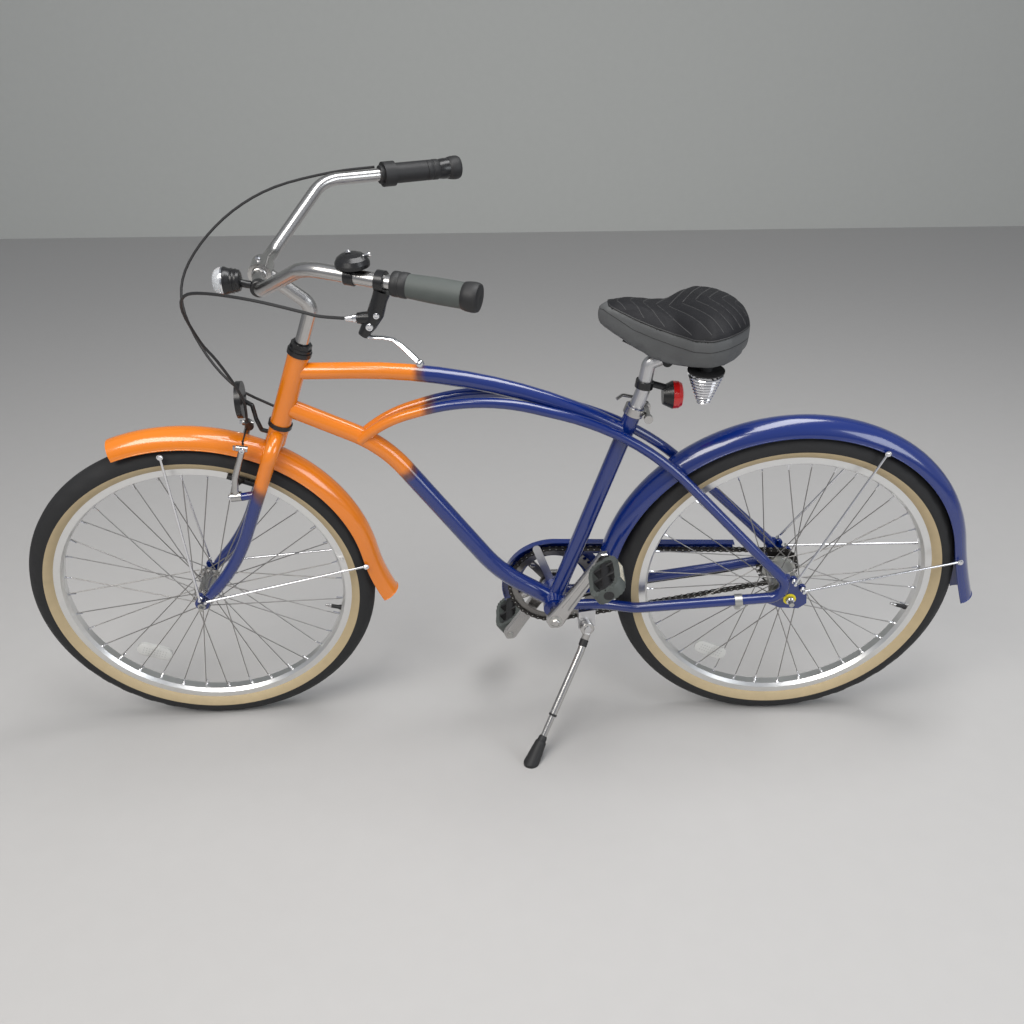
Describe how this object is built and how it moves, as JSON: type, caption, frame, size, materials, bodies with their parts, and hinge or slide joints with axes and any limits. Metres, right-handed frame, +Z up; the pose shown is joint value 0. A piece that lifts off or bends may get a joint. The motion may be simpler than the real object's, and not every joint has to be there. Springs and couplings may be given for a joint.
{
  "type": "beach cruiser bicycle",
  "caption": "Beach cruiser bicycle with curved twin-rail frame, swept bars, full fenders, sprung saddle, chain guard and side stand, parked leaning.",
  "frame": {"origin": "centre of the parked bicycle's footprint box, on the ground under it", "axes": "+X forward, +Y to the rider's left (the side it leans to), +Z up"},
  "size_m": [1.8478, 0.6456, 1.108],
  "materials": {
    "head_tube": "gloss orange",
    "headset": "black",
    "top_tube": "gloss deep blue fading to orange at the front",
    "down_tube": "gloss deep blue fading to orange at the front",
    "seat_tube": "gloss deep blue",
    "bottom_bracket": "gloss deep blue",
    "side_rails": "gloss deep blue fading to orange at the front",
    "chain_stays": "gloss deep blue",
    "seat_post": "satin",
    "seat_clamp": "polished",
    "saddle": "black vinyl with a grey lower skirt",
    "saddle_frame": "black",
    "saddle_springs": "plated",
    "rear_lamp_body": "black",
    "rear_lamp_lens": "red",
    "rear_fender": "gloss deep blue",
    "rear_fender_stays": "plated",
    "chain_guard": "gloss deep blue",
    "guard_bracket": "plated",
    "chain": "oiled, dark",
    "brake_reaction_arm": "dulled",
    "rear_axle": "plated",
    "stand_mount": "cast",
    "shift_cable_frame": "black housing",
    "steerer": "plated",
    "fork_crown": "gloss orange",
    "fork_legs": "gloss orange fading to deep blue",
    "stem": "polished",
    "handlebar": "polished",
    "grips": "dark grey green",
    "twist_shifter": "black",
    "brake_lever": "black with a silver blade",
    "bell": "black",
    "head_lamp_body": "black",
    "head_lamp_lens": "clear",
    "front_fender": "gloss orange",
    "front_fender_stays": "plated",
    "front_reflector": "dark, ribbed",
    "brake_arms": "black",
    "brake_pads": "black",
    "brake_cable": "black housing",
    "front_axle": "plated",
    "shift_cable_bar": "black housing",
    "front_tyre": "black tread, cream walls",
    "front_rim": "satin",
    "front_spokes": "stainless",
    "front_hub": "polished",
    "front_wheel_reflector": "clear",
    "rear_tyre": "black tread, cream walls",
    "rear_rim": "satin",
    "rear_spokes": "stainless",
    "rear_hub": "dulled",
    "rear_sprocket": "dark",
    "rear_wheel_reflector": "clear",
    "crank_arms": "polished",
    "chainring": "plated",
    "left_pedal": "grey green block on a black core",
    "right_pedal": "grey green block on a black core",
    "stand_leg": "polished",
    "stand_foot": "black"
  },
  "bodies": {
    "frame": {"head_tube": "head_tube", "headset": "headset", "top_tube": "top_tube", "down_tube": "down_tube", "seat_tube": "seat_tube", "bottom_bracket": "bottom_bracket", "side_rails": "side_rails", "chain_stays": "chain_stays", "seat_post": "seat_post", "seat_clamp": "seat_clamp", "saddle": "saddle", "saddle_frame": "saddle_frame", "saddle_springs": "saddle_springs", "rear_lamp_body": "rear_lamp_body", "rear_lamp_lens": "rear_lamp_lens", "rear_fender": "rear_fender", "rear_fender_stays": "rear_fender_stays", "chain_guard": "chain_guard", "guard_bracket": "guard_bracket", "chain": "chain", "brake_reaction_arm": "brake_reaction_arm", "rear_axle": "rear_axle", "stand_mount": "stand_mount", "shift_cable_frame": "shift_cable_frame"},
    "steering": {"steerer": "steerer", "fork_crown": "fork_crown", "fork_legs": "fork_legs", "stem": "stem", "handlebar": "handlebar", "grips": "grips", "twist_shifter": "twist_shifter", "brake_lever": "brake_lever", "bell": "bell", "head_lamp_body": "head_lamp_body", "head_lamp_lens": "head_lamp_lens", "front_fender": "front_fender", "front_fender_stays": "front_fender_stays", "front_reflector": "front_reflector", "brake_arms": "brake_arms", "brake_pads": "brake_pads", "brake_cable": "brake_cable", "front_axle": "front_axle", "shift_cable_bar": "shift_cable_bar"},
    "front_wheel": {"front_tyre": "front_tyre", "front_rim": "front_rim", "front_spokes": "front_spokes", "front_hub": "front_hub", "front_wheel_reflector": "front_wheel_reflector"},
    "rear_wheel": {"rear_tyre": "rear_tyre", "rear_rim": "rear_rim", "rear_spokes": "rear_spokes", "rear_hub": "rear_hub", "rear_sprocket": "rear_sprocket", "rear_wheel_reflector": "rear_wheel_reflector"},
    "crank": {"crank_arms": "crank_arms", "chainring": "chainring"},
    "left_pedal": {"left_pedal": "left_pedal"},
    "right_pedal": {"right_pedal": "right_pedal"},
    "stand": {"stand_leg": "stand_leg", "stand_foot": "stand_foot"}
  },
  "joints": [
    {"name": "steering", "type": "hinge", "parent": "frame", "child": "steering", "pos_m": [0.39946, -0.03262, 0.68676], "axis": [-0.348, 0.1304, 0.9284], "range_deg": [-70, 60], "deforming": ["shift_cable_bar"]},
    {"name": "front_wheel_spin", "type": "hinge", "parent": "steering", "child": "front_wheel", "pos_m": [0.59395, -0.07827, 0.32663], "axis": [-0.0818, 0.9823, -0.1687], "continuous": true},
    {"name": "rear_wheel_spin", "type": "hinge", "parent": "frame", "child": "rear_wheel", "pos_m": [-0.54435, -0.08311, 0.32804], "axis": [-0.0001, 0.9903, -0.1392], "continuous": true},
    {"name": "crank_spin", "type": "hinge", "parent": "frame", "child": "crank", "pos_m": [-0.09438, -0.08882, 0.28718], "axis": [-0.0001, 0.9903, -0.1392], "range_deg": [-90, 195]},
    {"name": "left_pedal_spin", "type": "hinge", "parent": "crank", "child": "left_pedal", "pos_m": [-0.18362, -0.06869, 0.43046], "axis": [-0.0001, 0.9903, -0.1392], "continuous": true},
    {"name": "right_pedal_spin", "type": "hinge", "parent": "crank", "child": "right_pedal", "pos_m": [-0.00513, -0.10895, 0.1439], "axis": [-0.0001, 0.9903, -0.1392], "continuous": true},
    {"name": "stand_swing", "type": "hinge", "parent": "frame", "child": "stand", "pos_m": [-0.1577, -0.04988, 0.24094], "axis": [-0.213, 0.977, -0.0059], "range_deg": [0, 124]}
  ]
}
